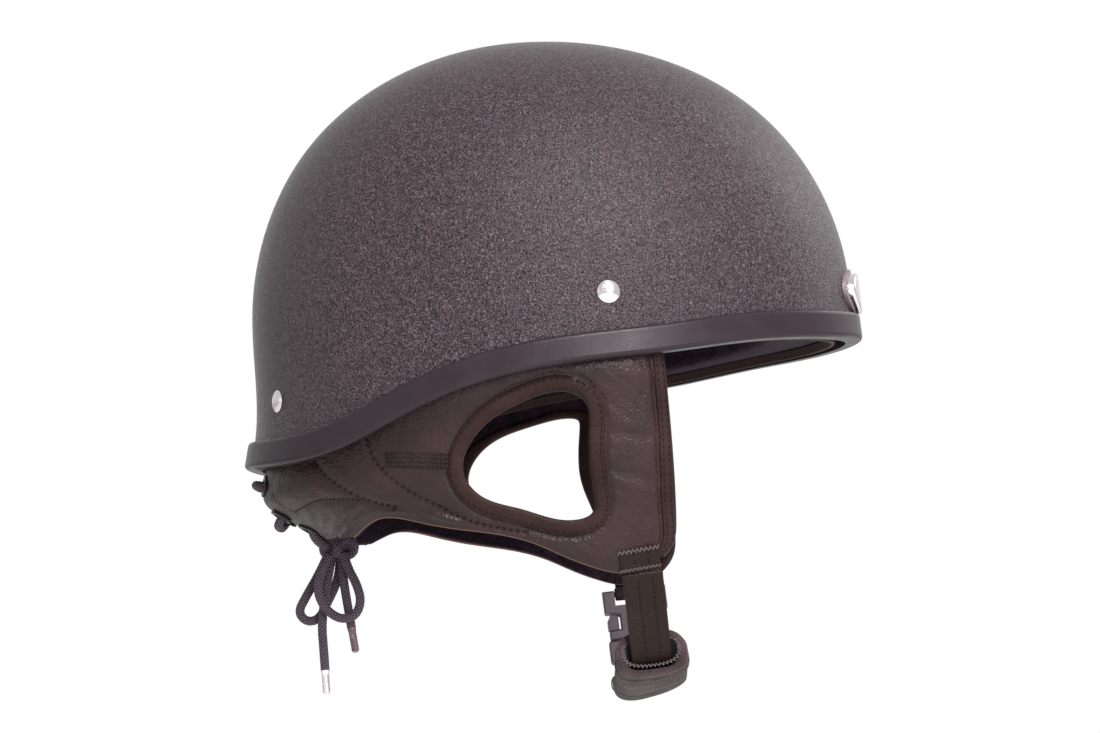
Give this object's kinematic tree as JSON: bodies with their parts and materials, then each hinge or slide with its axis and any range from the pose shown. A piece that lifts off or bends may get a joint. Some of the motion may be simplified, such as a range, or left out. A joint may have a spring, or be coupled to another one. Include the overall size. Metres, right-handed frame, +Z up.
{
  "type": "jockey skull cap",
  "caption": "Round peakless riding skull cap with a gritty hard shell, rubber edge trim, padded lining, leather harness laced at the nape and a buckled chin strap.",
  "frame": {"origin": "centre of the head opening, on the cap's middle plane, where the head is seated from below", "axes": "+X toward the brow, +Z up through the crown, -Y toward the wearer's right; the cap stands slightly nose up, as it does when its harness hangs plumb"},
  "size_m": [0.2832, 0.2192, 0.302],
  "materials": {
    "shell": "gritty sparkle texture",
    "trim_rubber": "smooth matte",
    "liner_foam": "moulded foam",
    "fleece": "brushed fleece",
    "piping": "woven piping",
    "leather": "soft grain with a low sheen",
    "lace": "round braid",
    "rivet_metal": "polished",
    "eyelet_metal": "black enamel",
    "badge_metal": "polished and blank",
    "badge_backing": "matte",
    "spacer_plastic": "plain",
    "aglet_dark": "dark crimped tip",
    "buckle_plastic": "satin moulded"
  },
  "bodies": {
    "root": {"shell": "shell", "rim_trim": "trim_rubber", "impact_liner": "liner_foam", "headband": "fleece", "headband_piping": "piping", "crown_pad": "fleece", "badge_backing": "badge_backing", "badge_plate": "badge_metal", "harness_right": "leather", "harness_left": "leather", "harness_lining_right": "fleece", "harness_lining_left": "fleece", "ear_binding_right": "leather", "ear_binding_left": "leather", "front_binding_right": "leather", "front_binding_left": "leather", "nape_facing_right": "leather", "nape_facing_left": "leather", "anchor_straps_right": "leather", "anchor_straps_left": "leather", "strap_tab_right": "leather", "buckle_webbing": "leather", "shell_rivets": "rivet_metal", "rivet_spacers": "spacer_plastic", "rivet_burrs": "rivet_metal", "lace_eyelets": "eyelet_metal", "nape_lacing": "lace", "lace_knot": "lace", "lace_loop_right": "lace", "lace_loop_left": "lace", "lace_end_long": "lace", "lace_end_short": "lace", "aglet_long": "rivet_metal", "aglet_short": "aglet_dark", "buckle_female": "buckle_plastic"},
    "chin_strap": {"chin_strap": "leather", "chin_pad": "leather", "buckle_male": "buckle_plastic"},
    "release_arm_front": {"release_arm_front": "buckle_plastic"},
    "release_arm_rear": {"release_arm_rear": "buckle_plastic"}
  },
  "joints": [
    {"name": "chin_strap_swing", "type": "hinge", "parent": "root", "child": "chin_strap", "pos_m": [0.04273, -0.07158, -0.1105], "axis": [-0.9919, -0.0366, -0.1218], "range_deg": [0, 80]},
    {"name": "release_arm_front", "type": "hinge", "parent": "chin_strap", "child": "release_arm_front", "pos_m": [0.0509, 0.06878, -0.13716], "axis": [0.0192, -0.9898, 0.1414], "range_deg": [0, 16], "stiffness_Nm_per_rad": 0.02},
    {"name": "release_arm_rear", "type": "hinge", "parent": "chin_strap", "child": "release_arm_rear", "pos_m": [0.03107, 0.06805, -0.1396], "axis": [-0.0192, 0.9898, -0.1414], "range_deg": [0, 16], "stiffness_Nm_per_rad": 0.02}
  ]
}
